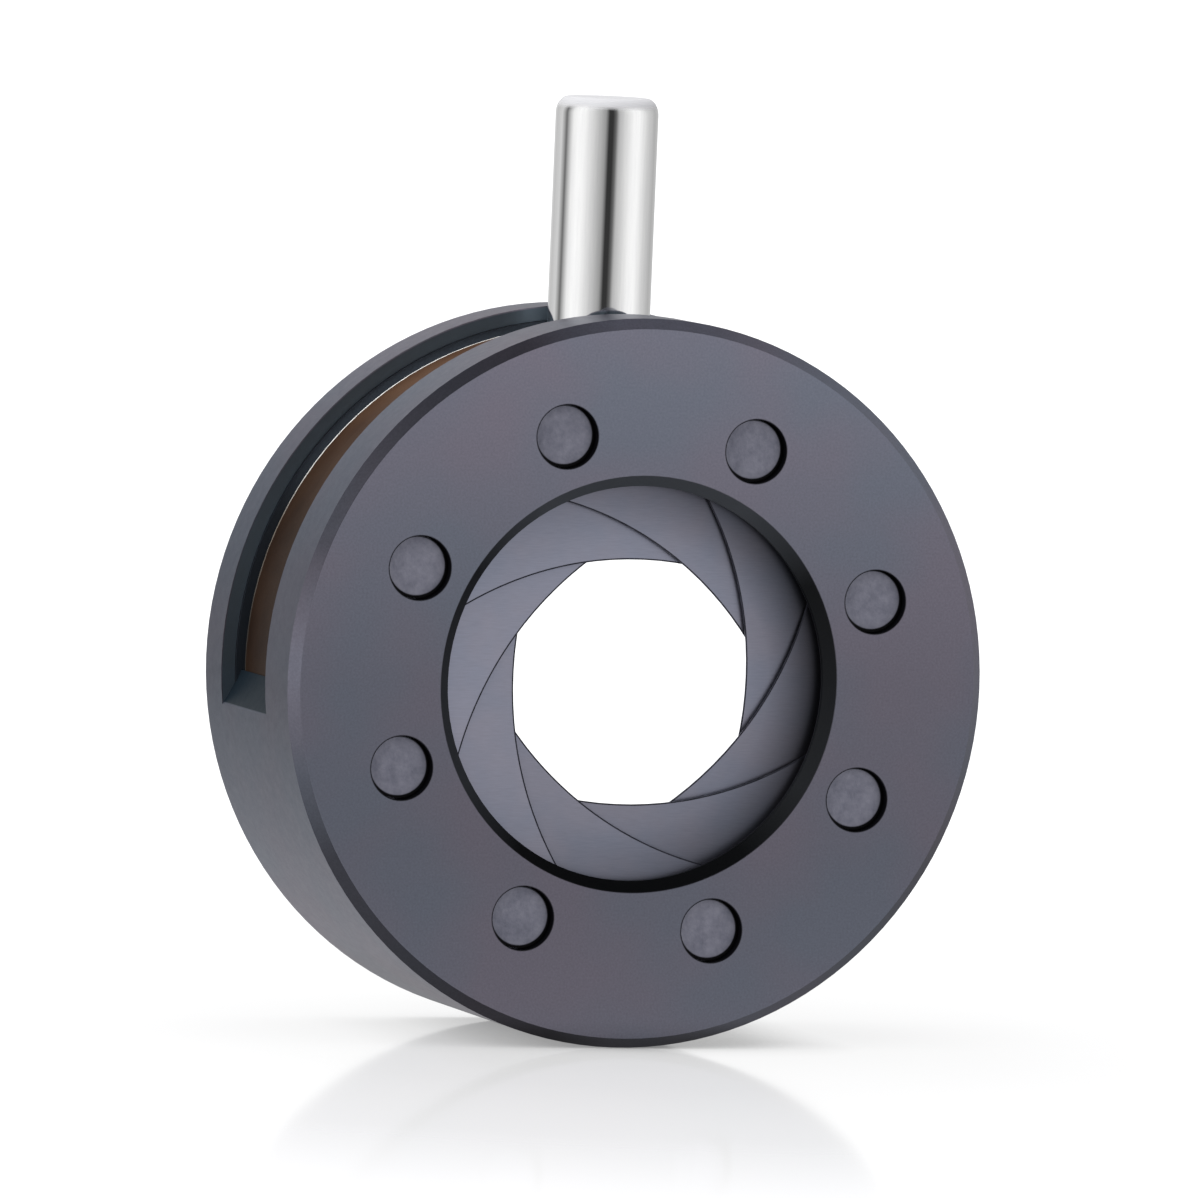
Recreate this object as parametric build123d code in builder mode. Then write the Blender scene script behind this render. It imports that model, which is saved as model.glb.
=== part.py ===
from build123d import *
from math import acos, asin, atan2, cos, degrees, radians, sin, sqrt, tan
import os

# Iris diaphragm: eight thin leaves in a flat drum, opened and closed by one side lever.
#
# Frame: the origin is on the optical axis, in the plane of the front face. +Y runs along the
# optical axis to the back, +Z is up along the lever at rest, +X is to the right seen from the
# front. Bearings are in degrees from +X towards +Z, so counter-clockwise seen from the front.
# Stations are distances behind the front face. Turning clockwise seen from the front closes
# the iris.

# ---- Driving dimensions, in millimetres and degrees ----

# Drum
drum_radius = 18.0
side_wall = 1.0
front_plate = 0.8
face_width = 8.25           # of the front face, from the light bore to the outer surface
light_bore_chamfer = 0.55
front_chamfer = 0.5
back_chamfer = 0.3
rotor_shoulder = 0.2        # step that the rotor's front face runs on
thread_step = 0.3           # step that the retaining ring is screwed down on

# Lever slot in the side wall, cut by a disc cutter that runs round the drum
slot_setback = 1.75         # from the rotor's front face to the front side of the slot
slot_overrun = 0.2          # beyond the rotor's back face
slot_left_end = 187.0       # bearing where the slot runs out of the outer surface
cutter_radius = 10.0
cutter_depth = 1.5          # how far the cutter's rim passes below the outer surface

# Leaves
leaf_count = 8
first_pivot_bearing = 109.4
pivot_circle_share = 0.3764  # of the face's width, from the light bore to the pivots
edge_centre_offset = 7.645  # from the axis to the centre of a leaf's concave edge, fully open
open_edge_margin = 0.035    # from the light bore to that edge, fully open
rest_opening = 6.05         # from the axis to each leaf's edge, as it stands
least_opening = 2.0         # the same, fully closed
leaf_thickness = 0.05
leaf_gap = 0.03             # left between neighbouring leaves where they cross
leaf_room = 0.1             # in front of and behind the stack
pivot_lobe_radius = 1.75
drive_end_half_width = 0.9
drive_end_margin = 0.3      # beyond the drive stud
outer_edge_bow = 1.375      # what the outer edge's radius has over half the leaf's length
outer_edge_sides = 5        # straight cuts that make the outer edge
edge_lead = 6.0             # how far the concave edge runs on past the pivot
edge_run = 47.0             # and how far it runs towards the drive stud
fall_offset = 8.0           # from the line between the studs to the line that a leaf falls along

# Pivot journals, riveted on the front of the leaves, and the holes that they turn in
journal_hole_radius = 1.575
journal_play = 0.05
journal_recess = 0.4        # from the front face down to a journal's end

# Drive studs, riveted on the back of the leaves
stud_radius = 0.4
drive_stud_length = 1.3     # in the rotor's slot

# Rotor
rotor_play = 0.05
rotor_length = 8.8
web_thickness = 1.8
web_bore_margin = 0.15      # beyond the light bore
rim_thickness = 4.35
rotor_back_chamfer = 0.35
slot_play = 0.2             # each side of a drive stud
slot_inner_land = 0.245     # from the web's bore to the inner ends of the slots
slot_outer_land = 0.85      # from their outer ends, with the leaves fully open, to the rim
slot_fit_share = 0.4        # part of the swing where the slot's arc is fitted between its ends

# Lever, a plain pin pressed into the rotor's rim
lever_radius = 2.55
lever_setback = 2.6         # from the rotor's back face
lever_reach = 10.5          # beyond the drum
lever_tip_width = 0.75      # of the bevels round its tip, inwards
lever_tip_height = 1.25     # and downwards
lever_tip_bevels = 2
lever_floor = 0.7           # left between its end and the inside of the rim
press_fit = 0.01
stop_gap = 0.15

# Retaining ring, screwed in from the back and turned by two spanner slots
thread_fit = 0.02
ring_length = 2.7
ring_recess = 0.35
ring_width = 6.1
spanner_slot_width = 2.0
spanner_slot_depth = 1.0
spanner_slot_count = 2

# ---- What follows from them: the leaf linkage ----

leaf_pitch = 360 / leaf_count
rotor_radius = drum_radius - side_wall - rotor_play
light_bore_radius = drum_radius - face_width
pivot_circle_radius = light_bore_radius + pivot_circle_share * face_width
edge_centre_reach = pivot_circle_radius + edge_centre_offset
edge_radius = edge_centre_offset + light_bore_radius + open_edge_margin

# Distances of a drive stud from the axis: fully open, and least, opposite its pivot
slot_half_width = stud_radius + slot_play
web_bore_radius = light_bore_radius + web_bore_margin
drive_outer_radius = rotor_radius - slot_outer_land - slot_half_width
drive_inner_radius = web_bore_radius + slot_inner_land + slot_half_width
drive_reach = pivot_circle_radius + drive_inner_radius


def opposite_angle(side_a, side_b, opposite_side):
    """Angle in degrees between two sides of a triangle, from its third side."""
    return degrees(acos((side_a**2 + side_b**2 - opposite_side**2) / (2 * side_a * side_b)))


def swing_for(opening):
    """How far a leaf has closed, from fully open, when its edge is at this opening."""
    return opposite_angle(pivot_circle_radius, edge_centre_reach, edge_radius - opening)


rest_swing = swing_for(rest_opening)
closed_swing = swing_for(least_opening)

# Angle at the pivot between the axis and the drive stud, with the leaves fully open
open_stud_angle = opposite_angle(pivot_circle_radius, drive_reach, drive_outer_radius)


def stud_beside_axis(stud_angle):
    """Drive stud seen from the axis: distance, and bearing past the point facing the pivot."""
    along = drive_reach * cos(radians(stud_angle)) - pivot_circle_radius
    across = drive_reach * sin(radians(stud_angle))
    return sqrt(along**2 + across**2), degrees(atan2(across, along))


# Rotor turn for each degree of leaf swing: it brings a stud that has passed the line through
# its pivot and the axis back to the same line in the rotor's slot when the iris is closed.
over_centre = closed_swing - open_stud_angle
rotor_ratio = stud_beside_axis(over_centre)[1] / over_centre
lever_open_bearing = 90 + rotor_ratio * rest_swing
lever_closed_bearing = 90 - rotor_ratio * (closed_swing - rest_swing)

# Each leaf lies on a slope, foremost at its pivot, so that it passes under the next one. The
# slope keeps a leaf's thickness and the gap between neighbours where their edges cross.
leaf_slope = (leaf_thickness + leaf_gap) / (2 * least_opening * tan(radians(leaf_pitch / 2)))
fall_bearing = open_stud_angle + fall_offset
leaf_length = pivot_lobe_radius + drive_reach + drive_end_half_width
chamber_depth = leaf_slope * leaf_length + leaf_thickness + 2 * leaf_room
pivot_station = front_plate + leaf_room + leaf_slope * pivot_lobe_radius

# ---- Stations along the drum ----

shoulder_station = front_plate + chamber_depth
rotor_front = shoulder_station + rotor_play
rotor_back = rotor_front + rotor_length
slot_front = rotor_front + slot_setback
slot_width = rotor_back + slot_overrun - slot_front
lever_station = rotor_back - lever_setback
ring_front = rotor_back + rotor_play
ring_back = ring_front + ring_length
drum_length = ring_back + ring_recess

# ---- Radii ----

rotor_bore = drum_radius - side_wall
chamber_radius = rotor_bore - rotor_shoulder
thread_radius = rotor_bore + thread_step
rim_inner_radius = rotor_radius - rim_thickness
ring_bore_radius = thread_radius - ring_width
lever_foot = rim_inner_radius + lever_floor
lever_top = drum_radius + lever_reach

# ---- Path of the slot cutter ----

cutter_circle = drum_radius - cutter_depth + cutter_radius
run_out = opposite_angle(cutter_circle, drum_radius, cutter_radius)
run_in = opposite_angle(cutter_circle, rotor_bore, cutter_radius)
lever_half_angle = degrees(asin((lever_radius + stop_gap) / rotor_bore))
cutter_start = lever_closed_bearing - lever_half_angle + run_in
cutter_end = slot_left_end - run_out


def polar(radius, bearing):
    """Point of the front view at this distance and bearing from the axis."""
    return Vector(radius * cos(radians(bearing)), radius * sin(radians(bearing)))


def front_view(station, turn=0):
    """Plane facing the front at this station, turned about the axis by this bearing."""
    heading = polar(1, turn)
    return Plane(origin=(0, station, 0), x_dir=(heading.X, 0, heading.Y), z_dir=(0, -1, 0))


def pivot_bearing(number):
    return first_pivot_bearing + number * leaf_pitch


def leaf_frame(number):
    """Front-facing plane at a leaf's pivot, its x axis towards the centre of the edge arc."""
    pivot = polar(pivot_circle_radius, pivot_bearing(number))
    heading = polar(1, pivot_bearing(number) + 180 - rest_swing)
    return Plane(
        origin=(pivot.X, pivot_station, pivot.Y),
        x_dir=(heading.X, 0, heading.Y),
        z_dir=(0, -1, 0),
    )


def leaf_face(frame, depth):
    """The sloping plane of a leaf's front face, or of its back face one thickness deeper."""
    fall = polar(leaf_slope, fall_bearing)
    normal = frame.x_dir * fall.X + frame.y_dir * fall.Y + frame.z_dir
    return Plane(origin=frame.origin - frame.z_dir * depth, z_dir=normal)


# ---- Leaf outline, in a leaf's own frame ----

edge_centre = Vector(edge_centre_reach, 0)
drive_point = polar(drive_reach, open_stud_angle)

edge_start = edge_centre + polar(edge_radius, 180 + edge_lead)
edge_middle = edge_centre + polar(edge_radius, 180 + (edge_lead - edge_run) / 2)
edge_end = edge_centre + polar(edge_radius, 180 - edge_run)

# The neck arc continues the edge without a kink and passes beside the drive stud.
edge_heading = (edge_end - edge_centre).normalized()
to_drive = drive_point - edge_centre
along_heading = to_drive.dot(edge_heading)
neck_radius = (
    to_drive.length**2 + edge_radius**2 - 2 * edge_radius * along_heading
    - drive_end_half_width**2
) / (2 * (drive_end_half_width + edge_radius - along_heading))
neck_centre = edge_centre + edge_heading * (edge_radius - neck_radius)
neck_end_heading = (drive_point - neck_centre).normalized()
neck_end = neck_centre + neck_end_heading * neck_radius
neck_middle = neck_centre + (edge_heading + neck_end_heading).normalized() * neck_radius

# The outer edge is cut along an arc that passes beside the drive stud and round the pivot.
outer_edge_radius = leaf_length / 2 + outer_edge_bow
pivot_arm = outer_edge_radius - pivot_lobe_radius
drive_arm = outer_edge_radius - drive_end_half_width
foot = (pivot_arm**2 - drive_arm**2 + drive_reach**2) / (2 * drive_reach)
height = sqrt(pivot_arm**2 - foot**2)
outer_centre = polar(foot, open_stud_angle) + polar(height, open_stud_angle - 90)
outer_start = (drive_point - outer_centre).normalized() * outer_edge_radius
outer_end_heading = (-outer_centre).normalized()
outer_span = outer_start.get_angle(outer_end_heading)
outer_corners = [
    outer_centre + outer_start.rotate(Axis.Z, outer_span * side / outer_edge_sides)
    for side in range(outer_edge_sides + 1)
]
outer_end = outer_corners[-1]

# The drive end is cut square, parallel to the line across the leaf at the stud.
across = (outer_corners[0] - neck_end).normalized()
end_shift = across.rotate(Axis.Z, -90) * (stud_radius + drive_end_margin)
end_corners = [neck_end + end_shift, outer_corners[0] + end_shift]

# A straight heel joins the pivot lobe to the start of the concave edge.
heel_angle = degrees(acos(pivot_lobe_radius / edge_start.length))
edge_start_bearing = degrees(atan2(edge_start.Y, edge_start.X))
heel_start = polar(pivot_lobe_radius, edge_start_bearing - heel_angle)
lobe_middle = (heel_start + outer_end).normalized() * pivot_lobe_radius

# ---- Housing: a turned drum with the leaf chamber, the rotor's bore and the ring's seat ----

cutter_path = CenterArc((0, 0), cutter_circle, cutter_start, cutter_end - cutter_start)

with BuildPart() as housing:
    with BuildSketch(Plane.XY):
        with BuildLine():
            Polyline(
                (light_bore_radius, 0),
                (light_bore_radius, front_plate),
                (chamber_radius, front_plate),
                (chamber_radius, shoulder_station),
                (rotor_bore, shoulder_station),
                (rotor_bore, ring_front),
                (thread_radius, ring_front),
                (thread_radius, drum_length),
                (drum_radius, drum_length),
                (drum_radius, 0),
                close=True,
            )
        make_face()
    revolve(axis=Axis.Y)
    rims = housing.edges().filter_by(GeomType.CIRCLE).group_by(Axis.Y)
    chamfer(rims[0].sort_by(SortBy.RADIUS)[-1], front_chamfer)
    chamfer(rims[0].sort_by(SortBy.RADIUS)[0], light_bore_chamfer)
    chamfer(rims[-1].sort_by(SortBy.RADIUS)[-1], back_chamfer)
    with BuildSketch(front_view(slot_front)):
        SlotArc(cutter_path, 2 * cutter_radius)
    extrude(amount=-slot_width, mode=Mode.SUBTRACT)
    with BuildSketch(front_view(0)):
        with PolarLocations(pivot_circle_radius, leaf_count, first_pivot_bearing):
            Circle(journal_hole_radius)
    extrude(amount=-front_plate, mode=Mode.SUBTRACT)

housing.part.label = "housing"

# ---- Rotor ring: a slotted web behind the leaves on a rim that carries the lever ----


def stud_in_rotor(swing):
    """Centre of a drive stud in the rotor as it stands at rest, for one swing of the leaf."""
    distance, past = stud_beside_axis(open_stud_angle - swing)
    return polar(distance, 180 + past + rotor_ratio * (swing - rest_swing))


cam_line = ThreePointArc(
    stud_in_rotor(0),
    stud_in_rotor(slot_fit_share * open_stud_angle),
    stud_in_rotor(open_stud_angle),
)

with BuildPart() as rotor_ring:
    with BuildSketch(Plane.XY):
        with BuildLine():
            Polyline(
                (web_bore_radius, rotor_front),
                (web_bore_radius, rotor_front + web_thickness),
                (rim_inner_radius, rotor_front + web_thickness),
                (rim_inner_radius, rotor_back),
                (rotor_radius, rotor_back),
                (rotor_radius, rotor_front),
                close=True,
            )
        make_face()
    revolve(axis=Axis.Y)
    back_rims = rotor_ring.edges().filter_by(GeomType.CIRCLE).group_by(Axis.Y)[-1]
    chamfer(back_rims.sort_by(SortBy.RADIUS)[-1], rotor_back_chamfer)
    for number in range(leaf_count):
        with BuildSketch(front_view(rotor_front, pivot_bearing(number))):
            SlotArc(cam_line, 2 * slot_half_width)
        extrude(amount=-web_thickness, mode=Mode.SUBTRACT)
    with BuildSketch(Plane.XY.offset(lever_foot)):
        with Locations((0, lever_station)):
            Circle(lever_radius + press_fit)
    extrude(amount=rotor_radius - lever_foot, mode=Mode.SUBTRACT)

rotor_ring.part.label = "rotor_ring"

# ---- Lever: a plain pin, bevelled round its tip ----

tip_turns = [radians(90 * bevel / lever_tip_bevels) for bevel in range(lever_tip_bevels + 1)]

with BuildPart() as lever:
    with BuildSketch(front_view(lever_station)):
        with BuildLine():
            Polyline(
                (0, lever_foot),
                (lever_radius, lever_foot),
                *[
                    (
                        lever_radius - lever_tip_width * (1 - cos(turn)),
                        lever_top - lever_tip_height * (1 - sin(turn)),
                    )
                    for turn in tip_turns
                ],
                (0, lever_top),
                close=True,
            )
        make_face()
    revolve(axis=Axis((0, lever_station, 0), (0, 0, 1)))

lever.part.label = "lever"

# ---- Retaining ring, screwed in from the back and turned by two spanner slots ----

with BuildPart() as retaining_ring:
    with BuildSketch(front_view(ring_front)):
        Circle(thread_radius - thread_fit)
        Circle(ring_bore_radius, mode=Mode.SUBTRACT)
    extrude(amount=-ring_length)
    with BuildSketch(front_view(ring_back)):
        with PolarLocations((thread_radius + ring_bore_radius) / 2, spanner_slot_count):
            Rectangle(2 * (thread_radius - ring_bore_radius), spanner_slot_width)
    extrude(amount=spanner_slot_depth, mode=Mode.SUBTRACT)

retaining_ring.part.label = "retaining_ring"

pieces = [housing, rotor_ring, lever, retaining_ring]

# ---- The eight leaves, each with its pivot journal and its drive stud ----

for number in range(leaf_count):
    frame = leaf_frame(number)
    front_face = leaf_face(frame, 0)
    back_face = leaf_face(frame, leaf_thickness)

    with BuildPart() as leaf:
        with BuildSketch(frame):
            with BuildLine():
                ThreePointArc(edge_start, edge_middle, edge_end)
                ThreePointArc(edge_end, neck_middle, neck_end)
                Polyline(neck_end, *end_corners, *outer_corners)
                ThreePointArc(outer_end, lobe_middle, heel_start)
                Line(heel_start, edge_start)
            make_face()
        extrude(amount=chamber_depth, both=True)
        split(bisect_by=front_face, keep=Keep.BOTTOM)
        split(bisect_by=back_face, keep=Keep.TOP)
    leaf.part.label = f"leaf_{number + 1}"

    with BuildPart() as journal:
        with BuildSketch(frame.offset(pivot_station - journal_recess)):
            Circle(journal_hole_radius - journal_play)
        extrude(amount=-chamber_depth)
        split(bisect_by=front_face, keep=Keep.TOP)
    journal.part.label = f"journal_{number + 1}"

    with BuildPart() as drive_stud:
        with BuildSketch(frame):
            with Locations(drive_point):
                Circle(stud_radius)
        extrude(amount=-(rotor_front + drive_stud_length - pivot_station))
        split(bisect_by=back_face, keep=Keep.BOTTOM)
    drive_stud.part.label = f"drive_stud_{number + 1}"

    pieces += [leaf, journal, drive_stud]

os.makedirs("parts", exist_ok=True)
for piece in pieces:
    export_step(piece.part, f"parts/{piece.part.label}.step")
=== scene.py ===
from math import atan2, cos, pi, radians, sin

import bmesh
import bpy
from mathutils import Matrix, Vector


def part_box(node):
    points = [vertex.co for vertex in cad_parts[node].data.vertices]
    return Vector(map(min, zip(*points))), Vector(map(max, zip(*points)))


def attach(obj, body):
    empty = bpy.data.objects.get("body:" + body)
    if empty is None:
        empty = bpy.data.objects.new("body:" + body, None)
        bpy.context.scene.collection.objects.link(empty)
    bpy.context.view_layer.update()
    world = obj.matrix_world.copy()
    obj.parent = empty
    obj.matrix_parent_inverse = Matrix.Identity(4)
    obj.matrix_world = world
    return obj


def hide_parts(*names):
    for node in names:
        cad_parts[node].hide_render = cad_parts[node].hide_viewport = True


# Iris diaphragm on a white board. Scene lengths are in metres. The front faces -Y, and the
# lever at rest points up. Shading works in millimetres, from each piece's object coordinates.

MM = 0.001

# ---- Camera, for a square image ----
CAMERA_YAW = radians(18.98)         # how far the camera stands to the left of the front
CAMERA_PITCH = radians(4.08)
CAMERA_ROLL = radians(2.4)
CAMERA_DISTANCE = 689.5 * MM
ORIGIN_RIGHT = 1.956 * MM           # where the origin lies in the image, from its centre
ORIGIN_BELOW = 4.162 * MM
SENSOR_WIDTH = 36.0
LENS = 420.9
CLIP_START = 0.01

# ---- Floor ----
FLOOR_HEIGHT = -18.0 * MM
FLOOR_RADIUS = 3.2
FLOOR_SEGMENTS = 96
FLOOR_GLOW = 1.05                   # own light of the white board, near the object
FLOOR_FAR_GLOW = 1.10
FLOOR_GLOW_FADING = [(0.03, 0.0), (0.5, 1.0)]
FLOOR_GLOSS = 0.47                  # share of the reflection, near the object
FLOOR_GLOSS_FADING = [(0.1, 1.0), (0.22, 0.9), (0.33, 0.68), (0.54, 0.3), (1.0, 0.2)]
FLOOR_GLOSS_REACH = 180.0           # distance over which the reflection fades, in millimetres
FLOOR_MATT = (0.22, 0.22, 0.22)
CONTACT_REACH = 4.0                 # of the dark contact shadow, in millimetres
CONTACT_SHADE = [(0.15, 0.25), (0.5, 0.8), (0.9, 1.0)]
CONTACT_LEFT, CONTACT_RIGHT = -8.0, 1.0     # the contact shadow is weaker on the left
CONTACT_LEFT_SHARE = 0.3

# ---- Studio ----
# What it shows at each azimuth from the front, in degrees, positive to the right
STUDIO = [
    (-180, 0.66), (-166, 0.54), (-138, 0.64), (-120, 0.14), (-99, 0.86), (-84, 1.0), (-69, 0.95),
    (-21, 0.32), (-13, 0.035), (-4, 0.035), (3, 0.14), (10, 0.48), (45, 0.95), (61, 0.97),
    (88, 0.63), (120, 0.44), (180, 0.66),
]
CEILING_EDGE = [(0.55, 0.0), (0.86, 1.0)]
CEILING = (0.06, 0.06, 0.07)
ROOM_LIGHT = (0.62, 0.62, 0.65)
WHITE = (1.0, 1.0, 1.0)
LAMPS = {                           # place, size in metres and power in watts
    "lamp_top": ((-0.15, 0.1, 0.9), 1.3, 11.0),
    "lamp_left": ((-0.7, -0.6, 0.35), 0.6, 5.0),
}

# ---- The CAD part's sizes that the shading follows, in millimetres ----
DRUM_RADIUS = 18.0
LIGHT_BORE = 9.75
DRUM_FACE_BORE = 10.3               # outer rim of the light bore's chamfer
FRONT_PLATE = 0.8
PIVOT_CIRCLE = 12.855
PIVOT_BEARING = radians(109.4)
PIVOT_HOLE = 1.575
ROTOR_RIM = 16.0
SLOT_BACK = 11.37                   # station of the lever slot's back wall
RING_FRONT = 11.22                  # and of the retaining ring's front face
LEAF_COUNT = 8
LEAF_PITCH = 2 * pi / LEAF_COUNT
REST_SWING = radians(30.096)

# ---- Anodising ----
BODY_BLUE, BODY_PURPLE = (0.190, 0.205, 0.258), (0.218, 0.203, 0.254)
RING_BLUE, RING_PURPLE = (0.16, 0.17, 0.21), (0.19, 0.17, 0.21)
BODY_ROUGHNESS, RING_ROUGHNESS = 0.40, 0.42
ROUGHNESS_SPREAD = 0.07
ANODISED_METALLIC, ANODISED_SPECULAR = 0.85, 0.5
DULL_SPECULAR = 0.06                # of the black light bore, and of the pivot holes and the slot's ends in painted shade
SLOT_WALL_BLUE = (0.105, 0.135, 0.165)
# the lever slot's ends, near black in painted shade
SLOT_END_SHADE = (0.009, 0.015, 0.021)
# the retaining ring's front face, darker in painted shade where the lever slot shows it
RING_FRONT_SHADE = (0.050, 0.062, 0.080)
BORE_TINT = (0.92, 1.0, 1.14)
# the pivot holes round the journals, near black in painted shade
HOLE_SHADE = (0.003, 0.003, 0.004)
LEFT_SIDE, LEFT_SIDE_SOFTNESS = -9.0, 5.0   # where the side wall counts as its left part
# How painted light and shade vary with the height on the drum, from its lowest point to its
# highest: on the faces, on the left of the side wall and on the slot's back wall
FACE_PAINTED_LIGHT = [(0.0, 0.98), (0.27, 0.90), (0.5, 0.95), (0.72, 1.15), (1.0, 1.42)]
SIDE_PAINTED_LIGHT = [
    (0.0, 0.30), (0.12, 1.15), (0.22, 1.05), (0.48, (0.40, 0.44, 0.49)),
    (0.64, (0.42, 0.47, 0.53)), (1.0, (0.90, 0.93, 0.97)),
]
SLOT_WALL_PAINTED_LIGHT = [(0.5, 1.4), (0.68, 1.7), (0.78, 1.25), (0.9, 1.1)]
# Painted light and shade by bearing in degrees: on the bevels, and on the light bore's black
BEVEL_PAINTED_LIGHT = [
    (-180, 0.85), (-150, 0.25), (-102, 0.2), (-92, 0.6), (-30, 0.45), (0, 0.9), (95, 1.0),
    (112, 0.4), (158, 0.4), (175, 0.85),
]
BORE_BLACK_AND_PAINTED_LIGHT = [
    (-180, 0.026), (-150, 0.024), (-125, 0.002), (-55, 0.003), (-30, 0.013), (30, 0.006),
    (60, 0.065), (120, 0.092), (148, 0.010), (180, 0.026),
]

# ---- Leaves and journals ----
LEAF_TONES = [(0.35, (0.375, 0.395, 0.500)), (0.65, (0.415, 0.412, 0.505))]
SHADE_HEADING = (cos(radians(8.0)), 0.0, sin(radians(8.0)))    # towards the shaded side
SHADE_DEPTH = [(0.55, 0.0), (0.74, 0.22), (0.92, 0.66), (1.0, 0.82)]   # out to the light bore
JOURNAL_TONES = [(0.3, (0.196, 0.200, 0.256)), (0.7, (0.338, 0.338, 0.412))]
# painted shade round a journal's end, outside its lit part
JOURNAL_PAINTED_SHADE = (0.004, 0.004, 0.005)
JOURNAL_LIT = 1.43                  # radius of the lit part of a journal's end
JOURNAL_LIT_SHIFT = (0.05, 0.0, -0.07)      # and what moves it up and to the left
STUD_TONES = [(0.3, (0.22, 0.22, 0.24)), (0.7, (0.36, 0.36, 0.38))]

# ---- Dark strips of painted shade along the leaves' concave edges ----
EDGE_SHADE_TONES = [(0.3, (0.012, 0.013, 0.020)), (0.7, (0.045, 0.046, 0.062))]
EDGE_CENTRE_REACH = 20.5            # from a leaf's pivot to the centre of its concave edge
EDGE_RADIUS = 17.43
EDGE_RIM_WIDTH = 0.07
EDGE_RIM_LIFT = 0.004               # in front of the leaf's face
EDGE_RIM_STEPS = 48
EDGE_TOLERANCE = 0.02

# ---- Rotor ----
BRONZE_TONES = [(0.3, (0.104, 0.054, 0.032)), (0.7, (0.156, 0.084, 0.048))]
BRONZE_METALLIC, BRONZE_SPECULAR = 0.05, 0.06
# Painted light on the rotor by height on the drum: dark low down, lighter towards the top
ROTOR_PAINTED_LIGHT = [(0.0, 0.20), (0.68, 0.19), (0.77, 0.27), (0.81, 0.38), (0.92, 0.60)]
HIGHLIGHT_STATION = 10.77                # where the painted highlight on the back edge begins
HIGHLIGHT_RAGGEDNESS = 0.16
HIGHLIGHT_TONES = [(0.55, (0.05, 0.045, 0.04)), (0.70, (0.20, 0.17, 0.14)),
              (0.79, (0.90, 0.89, 0.85))]

# ---- Lever pin ----
CHROME_TONES = [(0.3, (0.93, 0.93, 0.935)), (0.7, (0.985, 0.985, 0.98))]
PIN_SATIN = (0.60, 0.60, 0.61)
PIN_SATIN_HEIGHT = 28.05            # where the polish ends, in millimetres
PIN_SATIN_SOFTNESS = 0.12
PIN_RADIUS = 2.55 * MM
PIN_FOOT = 0.2 * MM
PIN_TIP_HEIGHT = 0.85 * MM
PIN_TIP_WIDTH = 0.6 * MM
PIN_TIP_RINGS = 12
PIN_SEGMENTS = 96

AO_SAMPLES = 4

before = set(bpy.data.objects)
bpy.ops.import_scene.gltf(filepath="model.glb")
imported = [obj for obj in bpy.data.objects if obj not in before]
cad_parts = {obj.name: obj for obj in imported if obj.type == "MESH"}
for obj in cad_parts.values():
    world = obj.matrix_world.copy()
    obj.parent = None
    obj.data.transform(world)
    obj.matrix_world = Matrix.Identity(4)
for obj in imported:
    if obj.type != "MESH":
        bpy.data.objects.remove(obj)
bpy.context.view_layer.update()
scene = bpy.context.scene
scene.view_settings.view_transform = "Standard"


# ---- Node helpers ----

def new_tree(name):
    """A new material, its node tree and its Principled shader."""
    material = bpy.data.materials.new(name)
    material.use_nodes = True
    tree = material.node_tree
    return material, tree, tree.nodes["Principled BSDF"]


def node(tree, kind, inputs=None, **settings):
    """Adds a node, with its settings, and sets or links its inputs by name or number."""
    made = tree.nodes.new(kind)
    for key, value in settings.items():
        setattr(made, key, value)
    for key, value in (inputs or {}).items():
        if isinstance(value, bpy.types.NodeSocket):
            tree.links.new(value, made.inputs[key])
        else:
            made.inputs[key].default_value = value
    return made


def calculate(tree, operation, *values):
    return node(tree, "ShaderNodeMath", dict(enumerate(values)), operation=operation).outputs[0]


def product(tree, first, second):
    return calculate(tree, "MULTIPLY", first, second)


def axis(tree, vector, letter):
    """One component of a vector."""
    return node(tree, "ShaderNodeSeparateXYZ", {0: vector}).outputs[letter]


def length(tree, vector):
    return node(tree, "ShaderNodeVectorMath", {0: vector}, operation="LENGTH").outputs["Value"]


def in_millimetres(tree, place):
    return node(tree, "ShaderNodeVectorMath", {0: place, "Scale": 1000.0},
                operation="SCALE").outputs[0]


def coordinates(tree):
    """Object coordinates, in millimetres."""
    return in_millimetres(tree, node(tree, "ShaderNodeTexCoord").outputs["Object"])


def standing(tree):
    """Places that stay with the drum while a part turns in it, in millimetres."""
    return in_millimetres(tree, node(tree, "ShaderNodeNewGeometry").outputs["Position"])


def stretched(tree, place, *scales):
    return node(tree, "ShaderNodeMapping", {"Vector": place, "Scale": scales}).outputs[0]


def noise(tree, vector, scale, detail=3.0, rough=0.5):
    return node(tree, "ShaderNodeTexNoise",
                {"Vector": vector, "Scale": scale, "Detail": detail, "Roughness": rough}).outputs[0]


def ramp(tree, factor, stops):
    """Maps a factor through a colour ramp; each stop is a place and a colour or grey."""
    made = node(tree, "ShaderNodeValToRGB", {0: factor})
    elements = made.color_ramp.elements
    while len(elements) < len(stops):
        elements.new(0.5)
    for element, (place, colour) in zip(elements, stops):
        element.position = place
        element.color = (*colour, 1.0) if isinstance(colour, tuple) else (colour,) * 3 + (1.0,)
    return made.outputs[0]


def by_bearing(stops):
    """Ramp stops from pairs of a bearing in degrees, from -180 to 180, and a value."""
    return [(bearing / 360 + 0.5, value) for bearing, value in stops]


def spread(tree, factor, low, high):
    """Maps a factor that runs from 0 to 1 to this range."""
    return node(tree, "ShaderNodeMapRange", {0: factor, 3: low, 4: high}).outputs[0]


def spread_from(tree, value, low, high):
    """Maps a value that runs over this range to a factor from 0 to 1."""
    return node(tree, "ShaderNodeMapRange", {0: value, 1: low, 2: high}).outputs[0]


def above(tree, value, limit, softness):
    """0 where a value is under the limit, rising to 1 over this softness on both sides."""
    return spread_from(tree, value, limit - softness, limit + softness)


def below(tree, value, limit, softness):
    """1 where a value is under the limit, falling to 0 over this softness on both sides."""
    return node(tree, "ShaderNodeMapRange",
                {0: value, 1: limit - softness, 2: limit + softness, 3: 1.0, 4: 0.0}).outputs[0]


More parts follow.
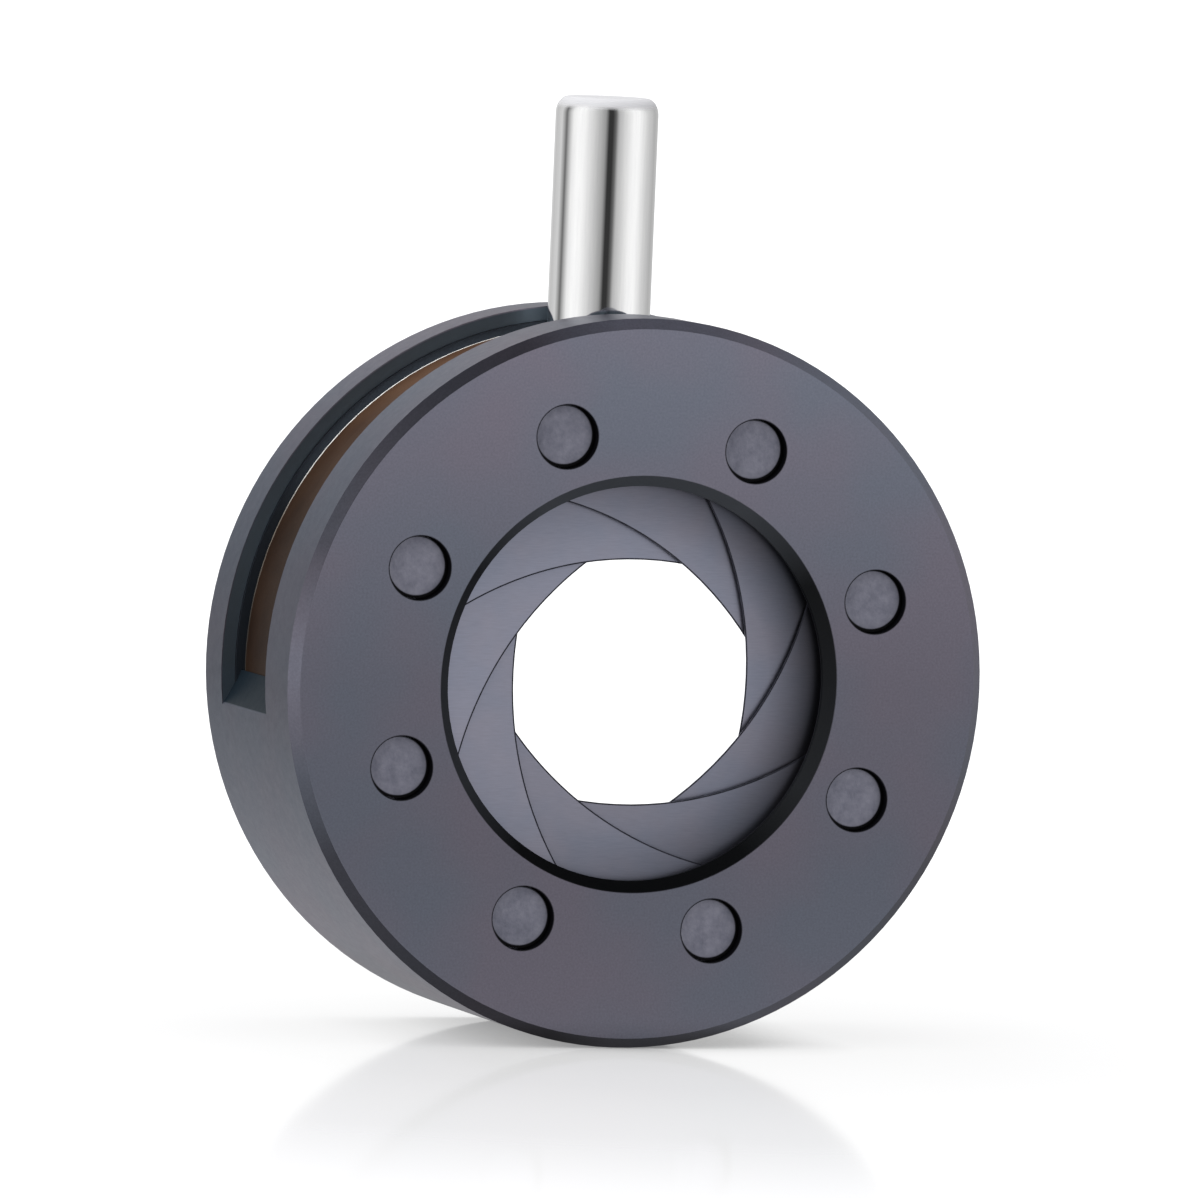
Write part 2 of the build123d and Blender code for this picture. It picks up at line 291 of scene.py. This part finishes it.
def blend(tree, factor, first, second, mode="MIX"):
    made = node(tree, "ShaderNodeMix", data_type="RGBA", blend_type=mode)
    for socket, value in ((0, factor), (6, first), (7, second)):
        if isinstance(value, bpy.types.NodeSocket):
            tree.links.new(value, made.inputs[socket])
        elif isinstance(value, tuple):
            made.inputs[socket].default_value = (*value, 1.0)
        else:
            made.inputs[socket].default_value = value
    return made.outputs[2]


def tinted(tree, colour, tint):
    """A colour times a tint or shade."""
    return blend(tree, 1.0, colour, tint, "MULTIPLY")


def bump(tree, shader, height, strength, distance):
    """Relief of this many millimetres on a shader."""
    relief = node(tree, "ShaderNodeBump",
                  {"Height": height, "Strength": strength, "Distance": distance * MM})
    tree.links.new(relief.outputs[0], shader.inputs["Normal"])


def painted_crevice_shade(tree, reach, stops):
    """Painted shade near walls closer than this reach, in millimetres, as a grey to tint a colour
    by.
    """
    shade = node(tree, "ShaderNodeAmbientOcclusion", {"Distance": reach * MM},
                 samples=AO_SAMPLES)
    return ramp(tree, shade.outputs["AO"], stops)


def drum_places(tree, place):
    """Distance and bearing from the optical axis, and distance from the nearest leaf pivot."""
    across, upwards = axis(tree, place, "X"), axis(tree, place, "Z")
    radius = length(tree, node(tree, "ShaderNodeCombineXYZ", {0: across, 1: upwards}).outputs[0])
    bearing = calculate(tree, "ARCTAN2", upwards, across)
    past = calculate(tree, "ADD", bearing, 2 * pi + LEAF_PITCH / 2 - PIVOT_BEARING)
    past = calculate(tree, "SUBTRACT", calculate(tree, "FLOORED_MODULO", past, LEAF_PITCH),
                     LEAF_PITCH / 2)
    along = calculate(tree, "SUBTRACT", product(tree, radius, calculate(tree, "COSINE", past)),
                      PIVOT_CIRCLE)
    aside = product(tree, radius, calculate(tree, "SINE", past))
    pivot = length(tree, node(tree, "ShaderNodeCombineXYZ", {0: along, 1: aside}).outputs[0])
    return radius, bearing, pivot


def height_on_drum(tree, place):
    """0 at the drum's lowest point and 1 at its highest."""
    return spread_from(tree, axis(tree, place, "Z"), -DRUM_RADIUS, DRUM_RADIUS)


def bore_shade(tree):
    """Shade that the bore's dark wall throws on the leaves, deepest on its right."""
    place = standing(tree)
    radius, _, _ = drum_places(tree, place)
    towards = node(tree, "ShaderNodeVectorMath", {0: place, 1: SHADE_HEADING},
                   operation="DOT_PRODUCT").outputs["Value"]
    side = spread_from(tree, calculate(tree, "DIVIDE", towards, radius), -1.0, 1.0)
    depth = ramp(tree, calculate(tree, "DIVIDE", radius, LIGHT_BORE), SHADE_DEPTH)
    return ramp(tree, product(tree, side, depth), [(0.0, 1.0), (0.8, 0.1)])


# ---- Materials ----

def anodised(name, blue, purple, roughness):
    """Dyed anodising on turned aluminium: cloudy colour, a fine matt grain, roughness patchy from
    use, and painted shade near walls.
    """
    material, tree, shader = new_tree(name)
    place = coordinates(tree)
    cloud = noise(tree, place, scale=0.11, detail=2.0)
    colour = blend(tree, ramp(tree, cloud, [(0.38, 0.0), (0.62, 1.0)]), blue, purple)
    grain = noise(tree, place, scale=9.0, detail=4.0, rough=0.65)
    colour = tinted(tree, colour, ramp(tree, grain, [(0.3, 0.88), (0.7, 1.08)]))
    # Painted shade near walls closer than 1.5 mm
    colour = tinted(tree, colour, painted_crevice_shade(tree, 1.5, [(0.35, 0.25), (0.85, 1.0)]))
    tree.links.new(colour, shader.inputs["Base Color"])
    wear_and_painted_light = spread(tree, noise(tree, place, scale=2.2), roughness - ROUGHNESS_SPREAD,
                  roughness + ROUGHNESS_SPREAD)
    tree.links.new(wear_and_painted_light, shader.inputs["Roughness"])
    shader.inputs["Metallic"].default_value = ANODISED_METALLIC
    bump(tree, shader, grain, strength=0.25, distance=0.012)
    return material, tree, shader, place, colour


def ring_anodising():
    """The retaining ring's anodising, with painted shade on its front face, where the lever slot
    shows it.
    """
    material, tree, shader, place, colour = anodised(
        "ring_anodised", RING_BLUE, RING_PURPLE, RING_ROUGHNESS)
    front = below(tree, axis(tree, place, "Y"), RING_FRONT + 0.1, 0.05)
    tree.links.new(blend(tree, front, colour, RING_FRONT_SHADE), shader.inputs["Base Color"])
    return material


def body_anodising():
    """The drum's anodising, with painted light and shade by height and by bearing, a black light
    bore, and painted shade in the slot and the pivot holes.
    """
    material, tree, shader, place, colour = anodised(
        "body_anodised", BODY_BLUE, BODY_PURPLE, BODY_ROUGHNESS)
    station = axis(tree, place, "Y")
    height = height_on_drum(tree, place)
    radius, bearing, pivot = drum_places(tree, place)
    turned_by = spread_from(tree, bearing, -pi, pi)

    normal = node(tree, "ShaderNodeTexCoord").outputs["Normal"]
    axial = calculate(tree, "ABSOLUTE", axis(tree, normal, "Y"))
    face = above(tree, axial, 0.9, 0.04)
    side = below(tree, axial, 0.35, 0.1)
    bevel = calculate(tree, "SUBTRACT", 1.0, calculate(tree, "ADD", face, side))
    left = below(tree, axis(tree, place, "X"), LEFT_SIDE, LEFT_SIDE_SOFTNESS)
    # Painted light and shade: by height on the faces and on the left of the side wall, and by
    # bearing on the bevels
    for mask, shade in ((face, ramp(tree, height, FACE_PAINTED_LIGHT)),
                        (product(tree, side, left), ramp(tree, height, SIDE_PAINTED_LIGHT)),
                        (bevel, ramp(tree, turned_by, by_bearing(BEVEL_PAINTED_LIGHT)))):
        colour = blend(tree, mask, colour, tinted(tree, colour, shade))

    behind_plate = above(tree, station, FRONT_PLATE, 0.05)
    slotted = product(tree, behind_plate, below(tree, station, SLOT_BACK + 0.2, 0.1))
    inside = product(tree, below(tree, radius, DRUM_RADIUS - 0.06, 0.03), slotted)
    # The slot's back wall with painted light by height, and its ends near black in painted shade
    wall = tinted(tree, SLOT_WALL_BLUE, ramp(tree, height, SLOT_WALL_PAINTED_LIGHT))
    colour = blend(tree, inside, colour, blend(tree, side, wall, SLOT_END_SHADE))

    in_plate = calculate(tree, "SUBTRACT", 1.0, behind_plate)
    # The light bore's black, with painted light and shade by bearing; the pivot holes in painted
    # shade
    bore = product(tree, below(tree, radius, DRUM_FACE_BORE, 0.03), in_plate)
    holes = product(tree, below(tree, pivot, PIVOT_HOLE + 0.05, 0.03), in_plate)
    black = tinted(tree, ramp(tree, turned_by, by_bearing(BORE_BLACK_AND_PAINTED_LIGHT)), BORE_TINT)
    colour = blend(tree, holes, blend(tree, bore, colour, black), HOLE_SHADE)
    tree.links.new(colour, shader.inputs["Base Color"])

    dull = calculate(tree, "MAXIMUM", calculate(tree, "MAXIMUM", bore, holes),
                     product(tree, inside, side))
    tree.links.new(spread(tree, dull, ANODISED_METALLIC, 0.0), shader.inputs["Metallic"])
    tree.links.new(spread(tree, dull, ANODISED_SPECULAR, DULL_SPECULAR),
                   shader.inputs["Specular IOR Level"])
    return material


def leaf_steel():
    """Blued spring steel, satin, with faint rolling lines, shaded by the bore on the right."""
    material, tree, shader = new_tree("leaf_steel")
    place = coordinates(tree)
    colour = ramp(tree, noise(tree, place, scale=0.35, detail=2.0), LEAF_TONES)
    lines = noise(tree, stretched(tree, place, 1.0, 1.0, 14.0), scale=1.4, rough=0.6)
    colour = tinted(tree, colour, ramp(tree, lines, [(0.3, 0.93), (0.7, 1.05)]))
    tree.links.new(tinted(tree, colour, bore_shade(tree)), shader.inputs["Base Color"])
    tree.links.new(spread(tree, lines, 0.36, 0.46), shader.inputs["Roughness"])
    shader.inputs["Metallic"].default_value = 0.95
    bump(tree, shader, lines, strength=0.12, distance=0.006)
    return material


def painted_edge_shade():
    """A dark strip of painted shade along a leaf's concave edge."""
    material, tree, shader = new_tree("painted_edge_shade")
    wear_and_painted_light = noise(tree, coordinates(tree), scale=1.6, rough=0.6)
    tree.links.new(ramp(tree, wear_and_painted_light, EDGE_SHADE_TONES), shader.inputs["Base Color"])
    tree.links.new(spread(tree, wear_and_painted_light, 0.45, 0.6), shader.inputs["Roughness"])
    shader.inputs["Metallic"].default_value = 0.6
    bump(tree, shader, wear_and_painted_light, strength=0.1, distance=0.004)
    return material


def journal_steel():
    """Journal ends dented where they were riveted, with painted shade round the rim, widest at the
    lower right.
    """
    material, tree, shader = new_tree("journal_steel")
    place = coordinates(tree)
    patch = noise(tree, place, scale=1.1, detail=4.0, rough=0.7)
    moved = node(tree, "ShaderNodeVectorMath", {0: place, 1: JOURNAL_LIT_SHIFT}).outputs[0]
    _, _, off_centre = drum_places(tree, moved)
    colour = blend(tree, above(tree, off_centre, JOURNAL_LIT, 0.03),
                   ramp(tree, patch, JOURNAL_TONES), JOURNAL_PAINTED_SHADE)
    tree.links.new(colour, shader.inputs["Base Color"])
    tree.links.new(spread(tree, patch, 0.38, 0.55), shader.inputs["Roughness"])
    shader.inputs["Metallic"].default_value = 0.85
    bump(tree, shader, patch, strength=0.5, distance=0.05)
    return material


def bronze():
    """Turned bronze under an oily brown film, with lathe lines, painted light darker towards the
    bottom and a painted highlight on the back edge.
    """
    material, tree, shader = new_tree("rotor_bronze")
    place = coordinates(tree)
    height = height_on_drum(tree, standing(tree))
    film = ramp(tree, noise(tree, place, scale=0.4), BRONZE_TONES)
    # Painted light: darker towards the bottom of the drum
    colour = tinted(tree, film, ramp(tree, height, ROTOR_PAINTED_LIGHT))
    # A painted highlight along the back edge: near white towards the top of the drum, dark low down
    radius, _, _ = drum_places(tree, place)
    ragged = product(tree, noise(tree, place, scale=1.2), HIGHLIGHT_RAGGEDNESS)
    wear_and_painted_light = calculate(tree, "ADD", axis(tree, place, "Y"), ragged)
    painted_highlight = product(tree, above(tree, wear_and_painted_light, HIGHLIGHT_STATION, 0.04), above(tree, radius, ROTOR_RIM, 0.1))
    colour = blend(tree, painted_highlight, colour, ramp(tree, height, HIGHLIGHT_TONES))
    tree.links.new(colour, shader.inputs["Base Color"])
    lathe = noise(tree, stretched(tree, place, 0.3, 12.0, 0.3), scale=1.5, detail=2.0)
    tree.links.new(spread(tree, lathe, 0.34, 0.46), shader.inputs["Roughness"])
    shader.inputs["Metallic"].default_value = BRONZE_METALLIC
    shader.inputs["Specular IOR Level"].default_value = BRONZE_SPECULAR
    bump(tree, shader, lathe, strength=0.2, distance=0.01)
    return material


def stud_steel():
    """Bright turned steel of the drive studs, a little stained."""
    material, tree, shader = new_tree("stud_steel")
    stain = noise(tree, coordinates(tree), scale=2.0)
    tree.links.new(ramp(tree, stain, STUD_TONES), shader.inputs["Base Color"])
    tree.links.new(spread(tree, stain, 0.3, 0.42), shader.inputs["Roughness"])
    shader.inputs["Metallic"].default_value = 1.0
    bump(tree, shader, stain, strength=0.1, distance=0.01)
    return material


def chrome_pin():
    """Polished chrome with hairline scuffs along the pin, and a satin turned tip."""
    material, tree, shader = new_tree("chrome_pin")
    place = coordinates(tree)
    scuff = noise(tree, stretched(tree, place, 9.0, 9.0, 0.5), scale=0.8, rough=0.6)
    polished = below(tree, axis(tree, place, "Z"), PIN_SATIN_HEIGHT, PIN_SATIN_SOFTNESS)
    colour = blend(tree, polished, PIN_SATIN, ramp(tree, scuff, CHROME_TONES))
    tree.links.new(colour, shader.inputs["Base Color"])
    roughness = calculate(tree, "ADD", spread(tree, scuff, 0.035, 0.07),
                          spread(tree, polished, 0.35, 0.0))
    tree.links.new(roughness, shader.inputs["Roughness"])
    tree.links.new(spread(tree, polished, 0.15, 1.0), shader.inputs["Metallic"])
    bump(tree, shader, scuff, strength=0.03, distance=0.004)
    return material


def floor_white():
    """White glossy board that shows the object's shadow and a faint reflection."""
    material, tree, shader = new_tree("floor_white")
    tree.nodes.remove(shader)
    place = coordinates(tree)
    away = length(tree, place)

    # Painted contact shadow, weaker on the left: it darkens the matt colour and the glow
    rightwards = spread_from(tree, axis(tree, place, "X"), CONTACT_LEFT, CONTACT_RIGHT)
    contact = blend(tree, spread(tree, rightwards, CONTACT_LEFT_SHARE, 1.0), WHITE,
                    painted_crevice_shade(tree, CONTACT_REACH, CONTACT_SHADE))
    matt = node(tree, "ShaderNodeBsdfDiffuse", {"Color": tinted(tree, FLOOR_MATT, contact)})
    far = ramp(tree, calculate(tree, "DIVIDE", away, FLOOR_RADIUS / MM), FLOOR_GLOW_FADING)
    seen = node(tree, "ShaderNodeLightPath").outputs["Is Camera Ray"]
    glow = node(tree, "ShaderNodeEmission", {
        "Color": contact,
        "Strength": product(tree, seen, spread(tree, far, FLOOR_GLOW, FLOOR_FAR_GLOW)),
    })
    body = node(tree, "ShaderNodeAddShader", {0: matt.outputs[0], 1: glow.outputs[0]})

    polish = spread(tree, noise(tree, place, scale=0.01), 0.06, 0.10)
    gloss = node(tree, "ShaderNodeBsdfGlossy", {"Color": (*WHITE, 1.0), "Roughness": polish})
    fading = ramp(tree, calculate(tree, "DIVIDE", away, FLOOR_GLOSS_REACH), FLOOR_GLOSS_FADING)
    mixed = node(tree, "ShaderNodeMixShader", {
        0: product(tree, fading, FLOOR_GLOSS), 1: body.outputs[0], 2: gloss.outputs[0]})
    tree.links.new(mixed.outputs[0], tree.nodes["Material Output"].inputs["Surface"])
    return material


# ---- CAD nodes ----

FINISHES = {                        # by the start of the node's name
    "housing": body_anodising(),
    "retaining_ring": ring_anodising(),
    "rotor_ring": bronze(),
    "leaf": leaf_steel(),
    "journal": journal_steel(),
    "drive_stud": stud_steel(),
    "lever": chrome_pin(),
}
for name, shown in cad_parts.items():
    finish = next(finish for start, finish in FINISHES.items() if name.startswith(start))
    if not shown.material_slots:
        shown.data.materials.append(None)
    for slot in shown.material_slots:
        slot.material = finish


def piece(name, made, material):
    """A piece in the scene from a finished bmesh."""
    mesh = bpy.data.meshes.new(name)
    made.to_mesh(mesh)
    made.free()
    mesh.materials.append(material)
    placed = bpy.data.objects.new(name, mesh)
    scene.collection.objects.link(placed)
    return placed


# ---- Lever pin with a rounded tip ----

def turned(name, profile, centre, material):
    """A pin turned about a vertical axis from a profile of (radius, height) points."""
    made = bmesh.new()
    turns = [2 * pi * k / PIN_SEGMENTS for k in range(PIN_SEGMENTS)]
    rings = [
        [made.verts.new((centre.x + radius * cos(turn), centre.y + radius * sin(turn), height))
         for turn in turns]
        for radius, height in profile
    ]
    for low, high in zip(rings, rings[1:]):
        for k in range(PIN_SEGMENTS):
            following = (k + 1) % PIN_SEGMENTS
            made.faces.new((low[k], low[following], high[following], high[k])).smooth = True
    made.faces.new(rings[-1])
    made.faces.new(reversed(rings[0]))
    return piece(name, made, material)


low, high = (Vector(corner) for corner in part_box("lever"))
pin_profile = [(PIN_RADIUS, low.z), (PIN_RADIUS, low.z + PIN_FOOT)]
for step in range(PIN_TIP_RINGS + 1):
    turn = pi / 2 * step / PIN_TIP_RINGS
    pin_profile.append((PIN_RADIUS - PIN_TIP_WIDTH * (1 - cos(turn)),
                        high.z - PIN_TIP_HEIGHT * (1 - sin(turn))))
pin = turned("lever_pin", pin_profile, (low + high) / 2, FINISHES["lever"])
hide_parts("lever")
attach(pin, "rotor")


# ---- Dark strips of painted shade along the leaves' concave edges ----

def edge_span(leaf, centre, facing):
    """First and last angle, from facing, of the leaf's corners on its concave edge."""
    offsets = []
    for corner in leaf.data.vertices:
        spoke = Vector((corner.co.x, corner.co.z)) - centre
        if abs(spoke.length - EDGE_RADIUS * MM) < EDGE_TOLERANCE * MM:
            offsets.append((atan2(spoke.y, spoke.x) - facing + pi) % (2 * pi) - pi)
    return min(offsets), max(offsets)


def edge_rim(number, leaf, material):
    """Thin strip of painted shade on a leaf's front face along its concave edge, placed by the
    leaf's mesh.
    """
    bearing = PIVOT_BEARING + number * LEAF_PITCH
    heading = bearing + pi - REST_SWING
    facing = (heading + pi) % (2 * pi)
    centre = MM * Vector((PIVOT_CIRCLE * cos(bearing) + EDGE_CENTRE_REACH * cos(heading),
                          PIVOT_CIRCLE * sin(bearing) + EDGE_CENTRE_REACH * sin(heading)))
    first, last = edge_span(leaf, centre, facing)
    front = min(leaf.data.polygons, key=lambda face: face.normal.y)
    tilt = front.normal
    datum = leaf.data.vertices[front.vertices[0]].co
    made = bmesh.new()
    rails = []
    for width in (0.0, EDGE_RIM_WIDTH):
        rail = []
        for step in range(EDGE_RIM_STEPS + 1):
            turn = facing + first + (last - first) * step / EDGE_RIM_STEPS
            reach = (EDGE_RADIUS + width) * MM
            x, z = centre.x + reach * cos(turn), centre.y + reach * sin(turn)
            y = datum.y - (tilt.x * (x - datum.x) + tilt.z * (z - datum.z)) / tilt.y
            rail.append(made.verts.new((x, y - EDGE_RIM_LIFT * MM, z)))
        rails.append(rail)
    inner, outer = rails
    for k in range(EDGE_RIM_STEPS):
        made.faces.new((inner[k], inner[k + 1], outer[k + 1], outer[k]))
    return piece(f"edge_rim_{number + 1}", made, material)


edge_shade_finish = painted_edge_shade()
for number in range(LEAF_COUNT):
    rim = edge_rim(number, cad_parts[f"leaf_{number + 1}"], edge_shade_finish)
    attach(rim, f"blade_{number + 1}")

# ---- Floor, world and lamps ----

board = bmesh.new()
bmesh.ops.create_circle(board, cap_ends=True, segments=FLOOR_SEGMENTS, radius=FLOOR_RADIUS)
floor = piece("floor", board, floor_white())
floor.location.z = FLOOR_HEIGHT
floor.visible_glossy = False

world = bpy.data.worlds.new("studio")
world.use_nodes = True
scene.world = world
sky = world.node_tree
direction = node(sky, "ShaderNodeTexCoord").outputs["Generated"]
azimuth = calculate(sky, "ARCTAN2", axis(sky, direction, "X"),
                    product(sky, axis(sky, direction, "Y"), -1.0))
room = ramp(sky, spread_from(sky, azimuth, -pi, pi), by_bearing(STUDIO))
reflected = blend(sky, ramp(sky, axis(sky, direction, "Z"), CEILING_EDGE), room, CEILING)
rays = node(sky, "ShaderNodeLightPath").outputs
ambient = blend(sky, rays["Is Diffuse Ray"], reflected, ROOM_LIGHT)
sky.links.new(blend(sky, rays["Is Camera Ray"], ambient, WHITE),
              sky.nodes["Background"].inputs["Color"])

for name, (place, size, power) in LAMPS.items():
    lamp = bpy.data.lights.new(name, "AREA")
    lamp.size = size
    lamp.energy = power
    holder = bpy.data.objects.new(name, lamp)
    holder.location = place
    holder.rotation_euler = (-Vector(place)).to_track_quat("-Z", "Y").to_euler()
    holder.visible_glossy = False
    scene.collection.objects.link(holder)

# ---- Camera ----

back = Vector((-sin(CAMERA_YAW) * cos(CAMERA_PITCH),
               -cos(CAMERA_YAW) * cos(CAMERA_PITCH), sin(CAMERA_PITCH)))
level = Vector((cos(CAMERA_YAW), -sin(CAMERA_YAW), 0.0))
upright = back.cross(level)
right = cos(CAMERA_ROLL) * level + sin(CAMERA_ROLL) * upright
up = cos(CAMERA_ROLL) * upright - sin(CAMERA_ROLL) * level
camera_data = bpy.data.cameras.new("camera")
camera_data.sensor_width = SENSOR_WIDTH
camera_data.lens = LENS
camera_data.clip_start = CLIP_START
camera = bpy.data.objects.new("camera", camera_data)
camera.matrix_world = (
    Matrix.Translation(back * CAMERA_DISTANCE - right * ORIGIN_RIGHT + up * ORIGIN_BELOW)
    @ Matrix((right, up, back)).transposed().to_4x4())
scene.collection.objects.link(camera)
scene.camera = camera
